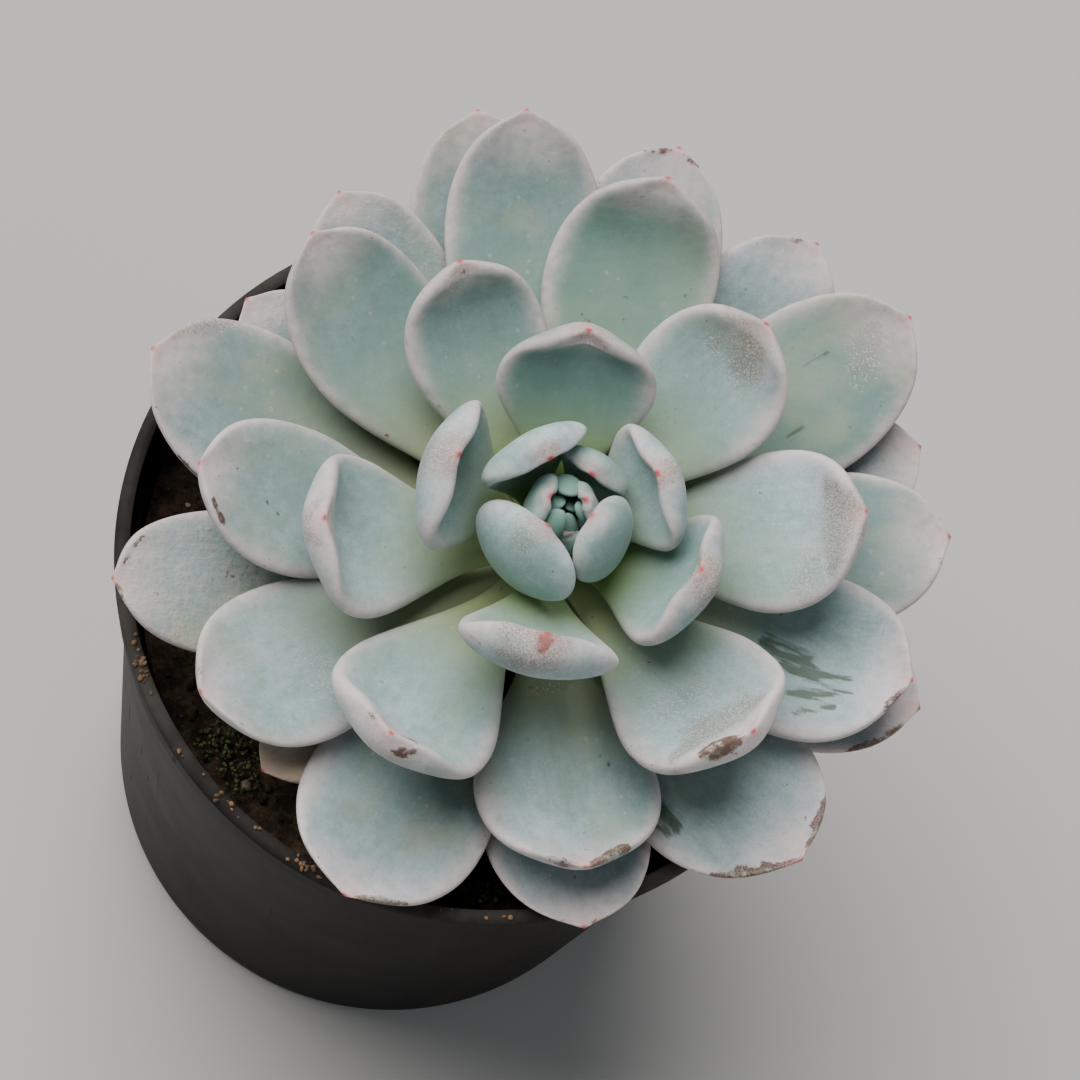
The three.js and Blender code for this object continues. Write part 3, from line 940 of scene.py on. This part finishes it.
def buildMoss(chance, patterns):
    # low cushions of moss, most of them where the leaves leave the soil open to light
    look = soilLook
    tufts = []
    for number in range(look["mossPatches"]):
        angle = chance.uniform(185, 275) if number < look["mossLit"] else chance.uniform(0, 360)
        angle = math.radians(angle)
        reach = chance.uniform(0.026, 0.038)
        width = chance.uniform(0.0028, 0.0055)
        middle = (math.cos(angle) * reach, math.sin(angle) * reach)
        for _ in range(int(look["mossTufts"] * (width / 0.0035) ** 2)):
            turn, away = chance.uniform(0, math.tau), math.sqrt(chance.random())
            px = middle[0] + math.cos(turn) * away * width
            py = middle[1] + math.sin(turn) * away * width
            if math.hypot(px, py) > look["topRadius"] - 0.001:
                continue
            crown = 0.0011 * math.sqrt(1 - away * away) + 0.0002
            size = chance.uniform(0.35, 0.75)
            height = soilHeight(px, py) + crown * chance.uniform(0.7, 1)
            tufts.append(grainPlace(chance, px, py, height, size))
    moss = grainMaterial("moss", look["mossDark"], look["moss"], 900)
    scatter("soilMoss", patterns, tufts, moss)


stemLook = {
    "sides": 48,
    "thick": 0.006,
    "tip": 0.002,
    "seat": 0.086,          # where it starts to taper
    "rings": 26,            # of leaf scars
    "old": colour(112, 96, 66),
    "young": colour(140, 158, 96),
}


def buildStem():
    look = stemLook
    low, high = stemLow.z, stemHigh.z
    profile = [(0.0022, low + 0.0003), (0.0036, low + 0.004), (0.0052, low + 0.008)]
    profile.append((look["thick"], low + 0.012))
    for step in range(1, look["rings"] + 1):
        share = step / look["rings"]
        radius = look["thick"] + (look["tip"] - look["thick"]) * share ** 1.5
        scar = 0.00016 * (1 if step % 2 else -1) * (1 - share)
        profile.append((radius + scar - 0.0001, look["seat"] + (high - 0.0018 - look["seat"]) * share))
    profile += [(0.0015, high - 0.001), (0.0008, high - 0.0004)]
    radius, height = 0.0012, low + 0.0001
    deselectAll()
    bpy.ops.mesh.primitive_circle_add(
        vertices=look["sides"], radius=radius, fill_type="NOTHING",
        location=(rosetteAxis.x, rosetteAxis.y, height))
    stem = bpy.context.object
    stem.name = "stemBark"
    bpy.ops.object.transform_apply(location=True)
    bpy.ops.object.mode_set(mode="EDIT")
    bpy.ops.mesh.select_mode(type="EDGE")
    bpy.ops.mesh.select_all(action="SELECT")
    for nextRadius, nextHeight in profile:
        bpy.ops.mesh.extrude_region_move(TRANSFORM_OT_translate={"value": (0, 0, nextHeight - height)})
        share = nextRadius / radius
        bpy.ops.transform.resize(value=(share, share, 1))
        radius, height = nextRadius, nextHeight
    bpy.ops.mesh.edge_face_add()
    bpy.ops.mesh.select_all(action="DESELECT")
    bpy.ops.mesh.select_non_manifold()
    bpy.ops.mesh.edge_face_add()
    bpy.ops.object.mode_set(mode="OBJECT")
    faceOutwards(stem)
    bpy.ops.object.shade_smooth_by_angle(angle=math.radians(50))
    s = Surface("stemSkin")
    bark = s.noise(260, 7, 0.7, s.stretched(1, 1, 2.5))
    shade = s.mix(s.ramp(bark, 0.35, 0.65), look["old"], look["young"])
    normal = s.bump(bark, 0.6, 0.001)
    finishPiece(stem, "stem", s.finish(Base_Color=shade, Roughness=0.8, Normal=normal))
    print("stem done")


view = {
    "azimuth": -29.3,       # degrees round from straight ahead
    "elevation": 70.0,
    "roll": 29.3,
    "distance": 0.49,
    "aimRight": 0.0070,     # from the middle of the rim to the middle of the picture
    "aimUp": 0.0029,
    "lens": 133.3,
}


def buildCamera():
    turn, lift, roll = (math.radians(view[key]) for key in ("azimuth", "elevation", "roll"))
    back = Vector((math.sin(turn) * math.cos(lift), -math.cos(turn) * math.cos(lift), math.sin(lift)))
    level = Vector((math.cos(turn), math.sin(turn), 0))
    steep = back.cross(level)
    right = math.cos(roll) * level + math.sin(roll) * steep
    up = -math.sin(roll) * level + math.cos(roll) * steep
    rim = Vector((0, 0, potHigh.z))
    eye = rim + right * view["aimRight"] + up * view["aimUp"] + back * view["distance"]
    bpy.ops.object.camera_add()
    camera = bpy.context.object
    camera.name = "camera"
    axes = Matrix((right, up, back)).transposed()
    camera.matrix_world = Matrix.Translation(eye) @ axes.to_4x4()
    camera.data.lens = view["lens"]
    camera.data.sensor_width = 36
    camera.data.clip_start = 0.01
    bpy.context.scene.camera = camera


studioLook = {
    "floor": colour(182, 180, 177),
    "floorSize": 12,
    "air": (0.86, 0.93, 1.0, 1),
    "airStrength": 0.15,
    "lights": {             # kind, place, width in degrees or metres, power and tint
        "softTop": ("SUN", (-0.22, 0.42, 0.78), 60, 5.3, (1.0, 0.985, 0.965)),
        "softSide": ("AREA", (0.5, -0.45, 0.4), 0.5, 0.9, (0.92, 0.96, 1.0)),
    },
}


def buildStudio():
    deselectAll()
    bpy.ops.mesh.primitive_plane_add(size=studioLook["floorSize"], location=(0, 0, -0.0001))
    floor = bpy.context.object
    floor.name = "floor"
    floor.data.materials.append(Surface("floorPaper").finish(Base_Color=studioLook["floor"], Roughness=0.9))
    world = bpy.data.worlds.new("studio")
    world.use_nodes = True
    background = world.node_tree.nodes["Background"]
    background.inputs["Color"].default_value = studioLook["air"]
    background.inputs["Strength"].default_value = studioLook["airStrength"]
    bpy.context.scene.world = world
    for name, (kind, place, width, power, tint) in studioLook["lights"].items():
        bpy.ops.object.light_add(type=kind, location=place)
        light = bpy.context.object
        light.name = name
        if kind == "SUN":
            light.data.angle = math.radians(width)
        else:
            light.data.size = width
        light.data.energy = power
        light.data.color = tint
        aim = Vector((0, 0, potHigh.z)) - Vector(place)
        light.rotation_euler = aim.to_track_quat("-Z", "Y").to_euler()


buildCamera()
buildStudio()
buildPot()
buildSoil()
buildStem()
buildLeaves()
